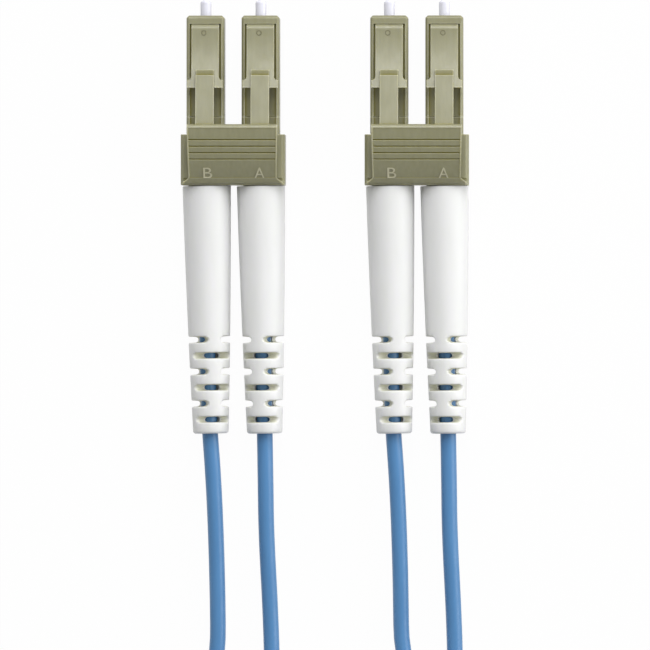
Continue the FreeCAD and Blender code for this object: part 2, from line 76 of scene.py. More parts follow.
# Strain relief boots: a tapered skin with a stepped bore, shaded smoothly across edges up to BOOT_SHARP
BOOT_AT = 19.32
BOOT_LENGTH = 28.12
BOOT_FRONT_D = 5.5
BOOT_WAIST_D = 4.78
BOOT_WAIST_AT = 16.52
BOOT_END_D = 4.02
BOOT_BORE_D = 4.02
BOOT_BORE_DEPTH = 8.9
BOOT_NECK_D = 2.28
BORE_OVERRUN = 1.0
BOOT_FRONT_ROUND = 0.08
BOOT_END_ROUND = 0.3
BOOT_SEGMENTS = 168
ROUND_STEPS = 4
BOOT_SHARP = 48.0

# How each plug's boot lies, by the plug's letter: its sideways shift, its lean and its twist
BOOT_LIE = {"b": (0.08, 0.98, 17.5), "a": (0.0, 0.87, -17.5)}

# Slots of the boots: their widths, their levels from the boot's end, how far from the axis their floors lie,
# the rounding of their mouths, the depth over which their floors run out into the skin, and the least cosine
# by which the skin is taken to face a slot's way
SLOT_WIDTH = 0.72
SLOT_FLOOR_WIDTH = 0.58
SLOT_PITCH = 1.815
SLOT_LEVELS = 6
SLOT_END = 1.6
SLOT_FLOOR = 0.74
SLOT_EDGE = 0.13
SLOT_RUN_OUT = 0.42
LEAST_FACING = 0.05

# Polarity letters on the triggers: each letter's place across its trigger and its stretch that way.
# They are dropped onto the crown from the height LETTER_DROP.
LETTERS = {"B": (-2.87, 1.25), "A": (3.06, 0.98)}
LETTER_Y = 4.87
LETTER_SIZE = 1.72
LETTER_RISE = 0.07
LETTER_EDGE = 0.02
LETTER_WEIGHT = -0.02
LETTER_DROP = 1000.0

# Round moulding marks on the latches, in a darker beige that paints their shade
MARK_STATION = 1.99
MARK_SHIFT = -0.14
MARK_R = 0.26
MARK_WIRE = 0.05
MARK_Z = 5.55
MARK_SEGMENTS = 48
MARK_WIRE_SIDES = 12

# Fibre ends in the tips of the ferrules
FIBRE_D = 0.125
FIBRE_PROUD = 0.004
FIBRE_SEGMENTS = 24

# Ferrule springs
WIRE_D = 0.2
WIRE_SIDES = 8
SPRING_TURNS = 4
SPRING_STEPS = 24

# Cords: the points between boots and coil are given by the plug's letter, as a shift from the plug, Y and Z
CORD_D = 1.8
CORD_START = 24.79
CORD_ROUND_STEPS = 6
CORD_RUN_STEPS = 8
TURN_Y = -65.0
FREE_RUN = {
    "b": ((0.2, -21.5, 2.8), (0.85, -29.5, 2.7), (1.25, -40.0, 1.9), (1.38, -53.0, 1.0)),
    "a": (
        (0.35, -20.0, 2.8),
        (0.52, -30.0, 2.7),
        (0.58, -36.0, 2.2),
        (1.1, -46.0, 1.4),
        (1.25, -53.0, 1.2),
    ),
}

# Each cord's two plugs, and the layer of the coil that each of its legs meets
CORDS = {
    "cord_one": ("left_a", 1, "right_b", 3),
    "cord_two": ("left_b", 0, "right_a", 2),
}

# Coil of the cords
COIL_CENTRE_Y = -76.0
COIL_R = 18.0
COIL_PITCH = 1.85
COIL_BOTTOM_Z = 1.35
COIL_HALF_TURNS = 17
HALF_TURN_POINTS = 8

# Straps round the coil: the solid that each stands for, the outer radius that it spans and its angle
# on the ring
STRAPS = {"coil_strap_near": ("coil_tie_near", 17.1, 90), "coil_strap_far": ("coil_tie_far", 18.9, 270)}
STRAP_INNER_R = 9.65
STRAP_LOW_Z = 0.4
STRAP_HIGH_Z = 7.85
STRAP_CORNER = 0.9
STRAP_CORNER_STEPS = 6
STRAP_THICKNESS = 0.38
STRAP_WIDTH = 5.0
STRAP_TAIL = 0.6
STRAP_EDGE = 0.12

# Light: each lamp's direction, size and level, and the even fill
LAMPS = {
    "right": ((0.92, 0.08, 0.38), 420.0, 0.5),
    "high": ((0.05, 0.52, 0.85), 230.0, 0.36),
    "front": ((0.1, 0.82, 0.56), 260.0, 0.46),
}
LAMP_DISTANCE = 550.0
FILL_LEVEL = 0.34
WHITE = (1.0, 1.0, 1.0, 1.0)

# Floor: how white it shows, its own grey, and how far it lies below the object
FLOOR_WHITE = 0.97
FLOOR_GREY = 0.8
FLOOR_ROUGHNESS = 0.9
FLOOR_REACH = 3000
FLOOR_DROP = 0.02

# Noise in the materials: its detail, and the values between which most of it lies
NOISE_DETAIL = 3
NOISE_LOW = 0.3
NOISE_HIGH = 0.7

# Plastics: the size of gloss patches in widths of a flow line, how far roughness varies, and how much light
# goes into the skin and how deep
GLOSS_PATCH = 3
GLOSS_SPREAD = 0.06
GLOW = 0.3
GLOW_DEPTH = 0.8

# How far each colour of light spreads under the skin of the plastics, as shares of GLOW_DEPTH
OLIVE = (1.0, 0.9, 0.3)
IVORY = (0.95, 1.0, 0.8)

# Metals: the width, stretch and shade of their fine lines, and how far roughness varies
METAL_LINE = 0.12
METAL_STRETCH = 30.0
METAL_SHADE = 0.85
METAL_GLOSS_SPREAD = 0.08

# How far the painted highlight reaches in from an outer edge and how far round a spot its hollows are judged
# for the painted shade, each with the openness where its colour starts and where it is full
EDGE_REACH = 0.2
EDGE_OPENNESS = (0.8, 0.5)
HOLLOW_REACH = 2.0
HOLLOW_OPENNESS = (0.92, 0.45)
PAINTED_LIGHT_SAMPLES = 8


# Parts of a material


def srgb(red, green, blue):
    """A colour written in 0 to 255 screen values, as linear light."""
    linear = []
    for value in (red, green, blue):
        share = value / 255
        linear.append(share / 12.92 if share <= 0.04045 else ((share + 0.055) / 1.055) ** 2.4)
    return (*linear, 1.0)


def new_material(name):
    """A node material with its principled shader."""
    material = bpy.data.materials.new(name)
    material.use_nodes = True
    return material, material.node_tree, material.node_tree.nodes["Principled BSDF"]


def noise(tree, size, stretch=1.0):
    """Noise of one size in millimetres, drawn out along the cable by a factor."""
    place = tree.nodes.new("ShaderNodeTexCoord")
    mapping = tree.nodes.new("ShaderNodeMapping")
    mapping.inputs["Scale"].default_value = (1.0, 1.0 / stretch, 1.0)
    texture = tree.nodes.new("ShaderNodeTexNoise")
    texture.inputs["Scale"].default_value = 1 / (size * MM)
    texture.inputs["Detail"].default_value = NOISE_DETAIL
    tree.links.new(place.outputs["Object"], mapping.inputs["Vector"])
    tree.links.new(mapping.outputs["Vector"], texture.inputs["Vector"])
    return texture.outputs["Fac"]


def spread(tree, value, low, high):
    """A noise value carried to a range of its own."""
    carried = tree.nodes.new("ShaderNodeMapRange")
    carried.inputs["From Min"].default_value = NOISE_LOW
    carried.inputs["From Max"].default_value = NOISE_HIGH
    carried.inputs["To Min"].default_value = low
    carried.inputs["To Max"].default_value = high
    tree.links.new(value, carried.inputs["Value"])
    return carried.outputs["Result"]


def tint(tree, value, shade, light):
    """A colour between two, chosen by a noise value."""
    ramp = tree.nodes.new("ShaderNodeValToRGB")
    ramp.color_ramp.elements[0].position = NOISE_LOW
    ramp.color_ramp.elements[1].position = NOISE_HIGH
    ramp.color_ramp.elements[0].color = shade
    ramp.color_ramp.elements[1].color = light
    tree.links.new(value, ramp.inputs["Fac"])
    return ramp.outputs["Color"]


def paint_highlight_and_shade(tree, colour, pale, deep):
    """A colour made deeper in hollows as painted shade, and paler along outer edges as a painted highlight.
    """
    for paint, inside, reach, (start, full) in (
        (deep, False, HOLLOW_REACH, HOLLOW_OPENNESS),
        (pale, True, EDGE_REACH, EDGE_OPENNESS),
    ):
        near = tree.nodes.new("ShaderNodeAmbientOcclusion")
        near.inside = inside
        near.only_local = True
        near.samples = PAINTED_LIGHT_SAMPLES
        near.inputs["Distance"].default_value = reach * MM
        share = tree.nodes.new("ShaderNodeMapRange")
        share.inputs["From Min"].default_value = start
        share.inputs["From Max"].default_value = full
        tree.links.new(near.outputs["AO"], share.inputs["Value"])
        mix = tree.nodes.new("ShaderNodeMixRGB")
        mix.inputs["Color2"].default_value = paint
        tree.links.new(share.outputs["Result"], mix.inputs["Fac"])
        tree.links.new(colour, mix.inputs["Color1"])
        colour = mix.outputs["Color"]
    return colour


def relief(tree, shader, value, depth):
    """Bump of a depth in millimetres from a noise value."""
    bump = tree.nodes.new("ShaderNodeBump")
    bump.inputs["Distance"].default_value = depth * MM
    tree.links.new(value, bump.inputs["Height"])
    tree.links.new(bump.outputs["Normal"], shader.inputs["Normal"])


def moulded(name, light, shade, flow, grain, roughness, glow=0.0, bleed=IVORY, edge_highlight_and_hollow_shade=None):
    """Moulded plastic or rubber with some light in its skin.

    flow is the width of its faint flow lines and their stretch along the cable, grain is the size and depth
    of its fine grain, and the last pair of colours gives a painted highlight along outer edges and painted
    shade in hollows.
    """
    material, tree, shader = new_material(name)
    patch, stretch = flow
    colour = tint(tree, noise(tree, patch, stretch), shade, light)
    if edge_highlight_and_hollow_shade:
        colour = paint_highlight_and_shade(tree, colour, *edge_highlight_and_hollow_shade)
    tree.links.new(colour, shader.inputs["Base Color"])
    patches = noise(tree, GLOSS_PATCH * patch)
    gloss = spread(tree, patches, roughness - GLOSS_SPREAD, roughness + GLOSS_SPREAD)
    tree.links.new(gloss, shader.inputs["Roughness"])
    size, depth = grain
    relief(tree, shader, noise(tree, size), depth)
    shader.inputs["Subsurface Weight"].default_value = glow
    shader.inputs["Subsurface Radius"].default_value = bleed
    shader.inputs["Subsurface Scale"].default_value = GLOW_DEPTH * MM
    return material


def metal(name, colour, roughness):
    """Drawn or plated metal with fine lines along the cable."""
    material, tree, shader = new_material(name)
    shader.inputs["Metallic"].default_value = 1.0
    lines = noise(tree, METAL_LINE, METAL_STRETCH)
    darker = tuple(METAL_SHADE * share for share in colour[:3]) + (1.0,)
    tree.links.new(tint(tree, lines, darker, colour), shader.inputs["Base Color"])
    gloss = spread(tree, lines, roughness - METAL_GLOSS_SPREAD, roughness + METAL_GLOSS_SPREAD)
    tree.links.new(gloss, shader.inputs["Roughness"])
    return material


# Materials of the plugs
BEIGE_FLOW = (0.45, 12.0)
BEIGE_GRAIN = (0.09, 0.002)
beige = moulded(
    "beige_plastic",
    light=srgb(143, 141, 111),
    shade=srgb(136, 134, 103),
    flow=BEIGE_FLOW,
    grain=BEIGE_GRAIN,
    roughness=0.34,
    glow=GLOW,
    bleed=OLIVE,
    # Painted highlight along outer edges, and painted olive shade in hollows
    edge_highlight_and_hollow_shade=(srgb(188, 185, 157), srgb(124, 116, 8)),
)
# A darker copy of the beige, for the painted shade of the moulding marks
shaded = moulded(
    "shaded_beige",
    light=srgb(116, 112, 80),
    shade=srgb(110, 106, 74),
    flow=BEIGE_FLOW,
    grain=BEIGE_GRAIN,
    roughness=0.4,
)
# A lighter copy of the beige for the raised letters: a painted highlight
highlit_beige = moulded(
    "highlit_letter_beige",
    light=srgb(190, 186, 158),
    shade=srgb(183, 179, 151),
    flow=BEIGE_FLOW,
    grain=(0.09, 0.003),
    roughness=0.42,
)
white = moulded(
    "white_boot",
    light=srgb(230, 230, 230),
    shade=srgb(226, 227, 225),
    flow=(1.6, 4.0),
    grain=(0.12, 0.003),
    roughness=0.42,
    glow=GLOW,
    bleed=IVORY,
    # Painted highlight along outer edges, and painted warm shade in the slots and other hollows
    edge_highlight_and_hollow_shade=(srgb(232, 232, 231), srgb(219, 219, 200)),
)
ceramic = moulded(
    "white_ceramic",
    light=srgb(228, 228, 239),
    shade=srgb(223, 223, 235),
    flow=(0.5, 3.0),
    grain=(0.1, 0.001),
    roughness=0.2,
)
glass = moulded(
    "fibre_end",
    light=srgb(70, 74, 82),
    shade=srgb(58, 62, 70),
    flow=(0.05, 1.0),
    grain=(0.05, 0.0005),
    roughness=0.12,
)
steel = metal("plated_steel", srgb(205, 205, 206), roughness=0.3)
spring_steel = metal("spring_steel", srgb(190, 190, 192), roughness=0.35)
crimp_metal = metal("crimp_metal", srgb(214, 214, 216), roughness=0.38)

# Materials of the cords and straps
blue = moulded(
    "blue_jacket",
    light=srgb(80, 134, 184),
    shade=srgb(74, 127, 177),
    flow=(0.8, 10.0),
    grain=(0.1, 0.003),
    roughness=0.38,
)
buffer = moulded(
    "fibre_buffer",
    light=srgb(228, 228, 222),
    shade=srgb(220, 220, 214),
    flow=(0.5, 6.0),
    grain=(0.1, 0.002),
    roughness=0.45,
)
strap = moulded(
    "tie_strap",
    light=srgb(52, 52, 56),
    shade=srgb(34, 34, 38),
    flow=(0.25, 1.0),
    grain=(0.12, 0.06),
    roughness=0.8,
)

# Finish of each kind of carried-over node, by the end of its name, and how far its sharp edges are rounded
FINISH = {
    "ferrule": (ceramic, 0.03),
    "ferrule_flange": (steel, 0.04),
    "ferrule_spring": (spring_steel, 0.04),
    "plug_housing": (beige, 0.15),
    "latch": (beige, 0.07),
    "rear_body": (beige, 0.06),
    "crimp_sleeve": (crimp_metal, 0.05),
    "buffered_fibre": (buffer, 0.05),
    "boot": (white, 0.0),
    "cord": (blue, 0.0),
    "clip": (beige, 0.2),
    "trigger": (beige, 0.05),
    "cord_coil": (blue, 0.0),
    "coil_tie_near": (strap, 0.15),
    "coil_tie_far": (strap, 0.15),
}


def past_edge_angle(group, measure):
    """The edges of a mesh whose angle, by one of its two measures, is past EDGE_ANGLE."""
    angle = group.nodes.new("GeometryNodeInputMeshEdgeAngle")
    compare = group.nodes.new("FunctionNodeCompare")
    compare.operation = "GREATER_THAN"
    compare.inputs["B"].default_value = math.radians(EDGE_ANGLE)
    group.links.new(angle.outputs[measure], compare.inputs["A"])
    return compare.outputs["Result"]


def make_smoothing():
    """A node group that drops stored normals, shades smoothly across slight edges and marks outer edges."""
    group = bpy.data.node_groups.new("smooth_shading", "GeometryNodeTree")
    group.interface.new_socket("Geometry", in_out="INPUT", socket_type="NodeSocketGeometry")
    group.interface.new_socket("Geometry", in_out="OUTPUT", socket_type="NodeSocketGeometry")
    plain = group.nodes.new("GeometryNodeRemoveAttribute")
    plain.inputs["Name"].default_value = "custom_normal"
    faces = group.nodes.new("GeometryNodeSetShadeSmooth")
    faces.domain = "FACE"
    edges = group.nodes.new("GeometryNodeSetShadeSmooth")
    edges.domain = "EDGE"
    edges.inputs["Shade Smooth"].default_value = False
    group.links.new(past_edge_angle(group, "Unsigned Angle"), edges.inputs["Selection"])
    mark = group.nodes.new("GeometryNodeStoreNamedAttribute")
    mark.domain = "EDGE"
    mark.inputs["Name"].default_value = "bevel_weight_edge"
    mark.inputs["Value"].default_value = 1.0
    group.links.new(past_edge_angle(group, "Signed Angle"), mark.inputs["Selection"])
    start = group.nodes.new("NodeGroupInput")
    end = group.nodes.new("NodeGroupOutput")
    steps = (start, plain, faces, edges, mark, end)
    for before, after in zip(steps, steps[1:]):
        group.links.new(before.outputs["Geometry"], after.inputs["Geometry"])
    return group


def round_edges(piece, width, which):
    """Round a piece's sharp edges a little: those past an angle, or those that carry a weight."""
    bevel = piece.modifiers.new("round_edges", "BEVEL")
    bevel.width = width * MM
    bevel.segments = EDGE_STEPS
    bevel.limit_method = which
    bevel.angle_limit = math.radians(EDGE_ANGLE)
    bevel.harden_normals = True


def finish_nodes():
    """Every carried-over node gets the material of its kind of piece and softly rounded edges."""
    smoothing = make_smoothing()
    for name, node in nodes.items():
        material, width = next(finish for kind, finish in FINISH.items() if name.endswith(kind))
        node.data.materials.clear()
        node.data.materials.append(material)
        if width:
            weld = node.modifiers.new("weld", "WELD")
            weld.merge_threshold = WELD_REACH * MM
            merge = node.modifiers.new("merge_flats", "DECIMATE")
            merge.decimate_type = "DISSOLVE"
            merge.angle_limit = math.radians(FLAT_ANGLE)
            node.modifiers.new("smooth", "NODES").node_group = smoothing
            round_edges(node, width, "WEIGHT")


# Shapes and pieces


def to_mesh(name, shape, material):
    """A mesh in metres, with its faces turned outwards and one material, from a shape in millimetres."""
    bmesh.ops.recalc_face_normals(shape, faces=shape.faces)
    bmesh.ops.scale(shape, vec=(MM, MM, MM), verts=shape.verts)
    mesh = bpy.data.meshes.new(name)
    shape.to_mesh(mesh)
    shape.free()
    mesh.materials.append(material)
    return mesh


def add_piece(name, mesh, body, place):
    """Put a finished mesh in the scene as a piece that rides on a body."""
    piece = bpy.data.objects.new(name, mesh)
    bpy.context.scene.collection.objects.link(piece)
    piece.matrix_world = place
    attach(piece, body)
    return piece


def move(x, y, z):
    """A shift given in millimetres."""
    return Matrix.Translation(Vector((x, y, z)) * MM)


def full_turn(steps):
    """Evenly spaced angles of one turn, in radians."""
    return [2 * math.pi * step / steps for step in range(steps)]


def revolved(profile, segments):
    """A ring turned about the Y axis from a closed loop of (distance behind, radius) points."""
    shape = bmesh.new()
    turns = full_turn(segments)
    rings = []
    for behind, radius in profile:
        points = [(radius * math.cos(turn), -behind, radius * math.sin(turn)) for turn in turns]
        rings.append([shape.verts.new(point) for point in points])
    for near, far in zip(rings, rings[1:] + rings[:1]):
        for step in range(segments):
            after = (step + 1) % segments
            shape.faces.new((near[step], near[after], far[after], far[step]))
    return shape


def skinned(rings):
    """A closed solid through rings of points."""
    shape = bmesh.new()
    loops = [[shape.verts.new(point) for point in ring] for ring in rings]
    for near, far in zip(loops, loops[1:]):
        for step in range(len(near)):
            shape.faces.new((near[step - 1], near[step], far[step], far[step - 1]))
    shape.faces.new(loops[0])
    shape.faces.new(reversed(loops[-1]))
    return shape


def turned(stations):
    """A solid round the Y axis: each station is a distance behind, and a radius for every step of a turn."""
    rings = []
    for behind, radii in stations:
        turns = full_turn(len(radii))
        rings.append([(r * math.cos(t), -behind, r * math.sin(t)) for r, t in zip(radii, turns)])
    return skinned(rings)


def carved(mesh, cutter):
    """What is left of a mesh when a cutter has been taken out of it."""
    target = bpy.data.objects.new("target", mesh)
    tool = bpy.data.objects.new("tool", cutter)
    for each in (target, tool):
        bpy.context.scene.collection.objects.link(each)
    cut = target.modifiers.new("cut", "BOOLEAN")
    cut.object = tool
    cut.solver = "EXACT"
    graph = bpy.context.evaluated_depsgraph_get()
    result = bpy.data.meshes.new_from_object(target.evaluated_get(graph), depsgraph=graph)
    for each in (target, tool):
        bpy.data.objects.remove(each)
    bpy.data.meshes.remove(cutter)
    bpy.data.meshes.remove(mesh)
    return result


# Boots


def boot_radius(behind):
    """A boot's outer radius: a slight curve through its front, waist and end sizes."""
    first = (BOOT_WAIST_D - BOOT_FRONT_D) / BOOT_WAIST_AT
    whole = (BOOT_END_D - BOOT_FRONT_D) / BOOT_LENGTH
    bend = (whole - first) / (BOOT_LENGTH - BOOT_WAIST_AT)
    return (BOOT_FRONT_D + behind * (first + bend * (behind - BOOT_WAIST_AT))) / 2


def quarter_turn():
    """Steps of a rounding, as shares of its radius: how far along it and how far out."""
    turns = [math.pi / 2 * step / ROUND_STEPS for step in range(ROUND_STEPS + 1)]
    return [(1 - math.cos(turn), math.sin(turn)) for turn in turns]


def slot_middle(level):
    """How far behind a boot's front a level of slots lies."""
    return BOOT_LENGTH - SLOT_END - level * SLOT_PITCH


def boot_stations():
    """Places along a boot: its rounded ends, its plain length, and each slot's floor, wall and mouth."""
    places = [BOOT_FRONT_ROUND * along for along, _ in quarter_turn()]
    places += [BOOT_LENGTH - BOOT_END_ROUND * along for along, _ in quarter_turn()]
    places += [slot_middle(level + 0.5) for level in range(int(slot_middle(0.5) / SLOT_PITCH))]
    aside = [SLOT_FLOOR_WIDTH / 2 * out for _, out in quarter_turn()]
    aside += [SLOT_WIDTH / 2 + SLOT_EDGE * along for along, _ in quarter_turn()]
    for level in range(SLOT_LEVELS):
        for reach in aside:
            places += [slot_middle(level) - reach, slot_middle(level) + reach]
    return sorted(set(places))


def slot_radius(full, aside, facing):
    """A boot's radius at a slot, some way aside from its middle, where the skin faces its way by a cosine."""
    half = SLOT_FLOOR_WIDTH / 2
    rise = half - math.sqrt(max(0.0, half**2 - aside**2))
    floor = (SLOT_FLOOR + rise) / max(facing, LEAST_FACING)
    # A smooth minimum of the two radii lets the floor run out into the skin.
    share = min(1.0, max(0.0, 0.5 + (floor - full) / (2 * SLOT_RUN_OUT)))
    floor += (full - floor) * share - SLOT_RUN_OUT * share * (1 - share)
    if aside < (SLOT_FLOOR_WIDTH + SLOT_WIDTH) / 4:
        return floor
    over = max(0.0, SLOT_WIDTH / 2 + SLOT_EDGE - aside)
    mouth = full - SLOT_EDGE + math.sqrt(max(0.0, SLOT_EDGE**2 - over**2))
    return max(floor, mouth)


def skin_radius(behind, turn):
    """A boot's outer radius: rounded at both ends, with pairs of slots from alternate sides."""
    full = boot_radius(behind)
    for room, radius in ((behind, BOOT_FRONT_ROUND), (BOOT_LENGTH - behind, BOOT_END_ROUND)):
        short = max(0.0, radius - room)
        full -= radius - math.sqrt(max(0.0, radius**2 - short**2))
    for level in range(SLOT_LEVELS):
        aside = abs(behind - slot_middle(level))
        if aside < SLOT_WIDTH / 2 + SLOT_EDGE:
            facing = math.cos(turn) if level % 2 else math.sin(turn)
            return slot_radius(full, aside, abs(facing))
    return full


def boot_mesh(twist):
    """A boot's slotted skin, twisted, with its stepped bore taken out through the floors of the slots."""
    turns = [turn + math.radians(twist) for turn in full_turn(BOOT_SEGMENTS)]
    skin = [(behind, [skin_radius(behind, turn) for turn in turns]) for behind in boot_stations()]
    wide = [BOOT_BORE_D / 2] * BOOT_SEGMENTS
    narrow = [BOOT_NECK_D / 2] * BOOT_SEGMENTS
    bore = [
        (-BORE_OVERRUN, wide),
        (BOOT_BORE_DEPTH, wide),
        (BOOT_BORE_DEPTH, narrow),
        (BOOT_LENGTH + BORE_OVERRUN, narrow),
    ]
    mesh = carved(to_mesh("boot", turned(skin), white), to_mesh("bore", turned(bore), white))
    mesh.shade_smooth()
    mesh.set_sharp_from_angle(angle=math.radians(BOOT_SHARP))
    return mesh


def make_boots():
    """White boots, turned and leaning as the photo shows them."""
    meshes = {letter: boot_mesh(twist) for letter, (_, _, twist) in BOOT_LIE.items()}
    for plug, across in PLUG_X.items():
        shift, lean, _ = BOOT_LIE[plug[-1]]
        leaning = Matrix.Rotation(math.radians(lean), 4, "Z")
        place = move(across + shift, FRONT_Y - BOOT_AT, AXIS_Z) @ leaning
        piece = add_piece(f"{plug}_relief", meshes[plug[-1]], BODY, place)
        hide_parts(f"{plug}_boot")


# Springs


def spring_rings(radius, low, high):
    """A spring's wire wound about the Y axis from one end to the other, as rings of points."""
    rings = []
    steps = SPRING_TURNS * SPRING_STEPS
    for step in range(steps + 1):
        turn = 2 * math.pi * step / SPRING_STEPS
        out = Vector((math.cos(turn), 0, math.sin(turn)))
        middle = out * radius + Vector((0, low + (high - low) * step / steps, 0))
        ring = []
        for way in full_turn(WIRE_SIDES):
            ring.append(middle + (out * math.cos(way) + Vector((0, math.sin(way), 0))) * (WIRE_D / 2))
        rings.append(ring)
    return rings


def make_springs():
    """Round wire springs behind the ferrules."""
    for plug, across in PLUG_X.items():
        low, high = (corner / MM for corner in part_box(f"{plug}_ferrule_spring"))
        radius = (high.x - low.x - WIRE_D) / 2
        rings = spring_rings(radius, low.y + WIRE_D / 2, high.y - WIRE_D / 2)
        mesh = to_mesh("spring", skinned(rings), spring_steel)
        mesh.shade_smooth()
        piece = add_piece(f"{plug}_coil_spring", mesh, BODY, move(across, 0, AXIS_Z))
        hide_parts(f"{plug}_ferrule_spring")
        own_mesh(piece)


# Letters, marks and fibre ends


def letter_mesh(letter):
    """A raised letter about the origin, facing up."""
    text = bpy.data.curves.new("letter", "FONT")
    text.body = letter
    text.align_x = "CENTER"
    text.align_y = "CENTER"
    text.size = LETTER_SIZE * MM
    text.extrude = LETTER_RISE * MM
    text.bevel_depth = LETTER_EDGE * MM
    text.offset = LETTER_WEIGHT * MM
    stamp = bpy.data.objects.new("stamp", text)
    mesh = bpy.data.meshes.new_from_object(stamp)
    bpy.data.objects.remove(stamp)
    mesh.materials.clear()
    mesh.materials.append(highlit_beige)
    return mesh


def make_letters():
    """Polarity letters that follow the crown of each trigger."""
    down = Vector((0, 0, -1))
    for end, middle in ENDS.items():
        trigger = nodes[f"{end}_trigger"].data
        corners = [vertex.co for vertex in trigger.vertices]
        crown = BVHTree.FromPolygons(corners, [face.vertices for face in trigger.polygons])
        for letter, (across, stretch) in LETTERS.items():
            mesh = letter_mesh(letter)
            for vertex in mesh.vertices:
                x = vertex.co.x * stretch + (middle + across) * MM
                y = vertex.co.y + LETTER_Y * MM
                seat = crown.ray_cast(Vector((x, y, LETTER_DROP * MM)), down)[0]
                vertex.co = (x, y, seat.z + vertex.co.z)
            piece = add_piece(f"{end}_letter_{letter.lower()}", mesh, f"{end}_trigger", Matrix.Identity(4))


def make_marks():
    """A round moulding mark on the flat of each latch."""
    circle = full_turn(MARK_WIRE_SIDES)
    section = [(MARK_WIRE * math.cos(t), MARK_R + MARK_WIRE * math.sin(t)) for t in circle]
    ring = to_mesh("mark", revolved(section, MARK_SEGMENTS), shaded)
    ring.shade_smooth()
    lay_flat = Matrix.Rotation(math.pi / 2, 4, "X")
    for plug, across in PLUG_X.items():
        place = move(across + MARK_SHIFT, FRONT_Y - MARK_STATION, MARK_Z) @ lay_flat
        piece = add_piece(f"{plug}_moulding_mark", ring, f"{plug}_latch", place)


def make_fibre_ends():
    """The end of the fibre in the tip of each ferrule."""
    r = FIBRE_D / 2
    rod = bmesh.new()
    bmesh.ops.create_cone(rod, cap_ends=True, segments=FIBRE_SEGMENTS, radius1=r, radius2=r, depth=FIBRE_D)
    core = to_mesh("fibre_end", rod, glass)
    along_cable = Matrix.Rotation(math.pi / 2, 4, "X")
    for plug, across in PLUG_X.items():
        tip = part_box(f"{plug}_ferrule")[1].y / MM
        place = move(across, tip + FIBRE_PROUD - FIBRE_D / 2, AXIS_Z) @ along_cable
        piece = add_piece(f"{plug}_fibre_end", core, f"{plug}_ferrule", place)


# Straps


def strap_path(outer):
    """A strap's inner line round the coil's section, with its tail on top: (radius, height, way out)."""
    inner = STRAP_INNER_R + STRAP_CORNER
    outer -= STRAP_CORNER
    low = STRAP_LOW_Z + STRAP_CORNER
    high = STRAP_HIGH_Z - STRAP_CORNER
    corners = ((outer, high), (inner, high), (inner, low), (outer, low), (outer, high))
    path = []
    for corner, (r, z) in enumerate(corners):
        lift = STRAP_THICKNESS if corner == len(corners) - 1 else 0.0
        for step in range(STRAP_CORNER_STEPS + 1):
            turn = math.pi / 2 * (corner + step / STRAP_CORNER_STEPS)
            out = (math.cos(turn), math.sin(turn))
            reach = STRAP_CORNER + lift
            path.append((r + reach * out[0], z + reach * out[1], out))
    tail = outer + (inner - outer) * STRAP_TAIL
    path.append((tail, STRAP_HIGH_Z + STRAP_THICKNESS, (0.0, 1.0)))
    return path


def make_straps():
    """Fabric straps wrapped round the coil, with their tails laid over the top."""
    straps = []
    for name, (tie, outer, angle) in STRAPS.items():
        turn = math.radians(angle)
        along = Vector((math.cos(turn), math.sin(turn), 0))
        across = Vector((-math.sin(turn), math.cos(turn), 0)) * (STRAP_WIDTH / 2)
        rings = []
        for r, z, out in strap_path(outer):
            under = along * r + Vector((0, COIL_CENTRE_Y, z))
            over = under + (along * out[0] + Vector((0, 0, out[1]))) * STRAP_THICKNESS
            rings.append((under - across, under + across, over + across, over - across))
        mesh = to_mesh(name, skinned(rings), strap)
        mesh.shade_smooth()
        mesh.set_sharp_from_angle(angle=math.radians(EDGE_ANGLE))
        piece = add_piece(name, mesh, BODY, Matrix.Identity(4))
        round_edges(piece, STRAP_EDGE, "ANGLE")
        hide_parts(tie)
        straps.append(piece)
    return straps


# Cords


def layer_z(layer):
    """Height of a coil layer's middle."""
    return COIL_BOTTOM_Z + layer * COIL_PITCH


def cord_leg(plug, layer):
    """The route's points from a plug's crimp sleeve to the coil."""
    across = PLUG_X[plug]
    side = math.copysign(COIL_R, across)
    leg = [(across, FRONT_Y - CORD_START, AXIS_Z)]
    leg += [(across + shift, y, z) for shift, y, z in FREE_RUN[plug[-1]]]
    leg += [(side, TURN_Y, layer_z(layer)), (side, COIL_CENTRE_Y, layer_z(layer))]
    return leg


def coil_turns(first_layer, last_layer):
    """A spiral in on one layer, a climb, and a spiral out on a higher layer."""
    points = []
    corner = 1 / math.cos(math.pi / 2 / HALF_TURN_POINTS)
    for step in range(COIL_HALF_TURNS * HALF_TURN_POINTS):
        at = (step + 0.5) / HALF_TURN_POINTS
        inward = min(at, COIL_HALF_TURNS - at)
        ring = inward // 2 + max(0.0, inward % 2 - 1)
        climb = min(1.0, max(0.0, at - (COIL_HALF_TURNS - 1) / 2))
        layer = first_layer + (last_layer - first_layer) * climb * climb * (3 - 2 * climb)
        radius = (COIL_R - ring * COIL_PITCH) * corner
        turn = math.pi * (1 + at)
        x = radius * math.cos(turn)
        y = COIL_CENTRE_Y + radius * math.sin(turn)
        points.append((x, y, layer_z(layer)))
    return points


def make_cord(name, straps, start, first_layer, end, last_layer):
    """One cord from plug to plug: a leg, the coil's turns and the other leg."""
    route = cord_leg(start, first_layer) + coil_turns(first_layer, last_layer)
    route += reversed(cord_leg(end, last_layer))
    curve = bpy.data.curves.new(name, "CURVE")
    curve.dimensions = "3D"
    curve.bevel_depth = CORD_D / 2 * MM
    curve.bevel_resolution = CORD_ROUND_STEPS
    curve.resolution_u = CORD_RUN_STEPS
    curve.use_fill_caps = True
    spline = curve.splines.new("NURBS")
    spline.points.add(len(route) - 1)
    for point, place in zip(spline.points, route):
        point.co = (*(Vector(place) * MM), 1.0)
    spline.order_u = 3
    spline.use_endpoint_u = True
    curve.materials.append(blue)
    cord = bpy.data.objects.new(name, curve)
    bpy.context.scene.collection.objects.link(cord)
    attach(cord, BODY)
    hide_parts(f"{start}_cord", f"{end}_cord", "cord_coil")


# Camera, floor and light


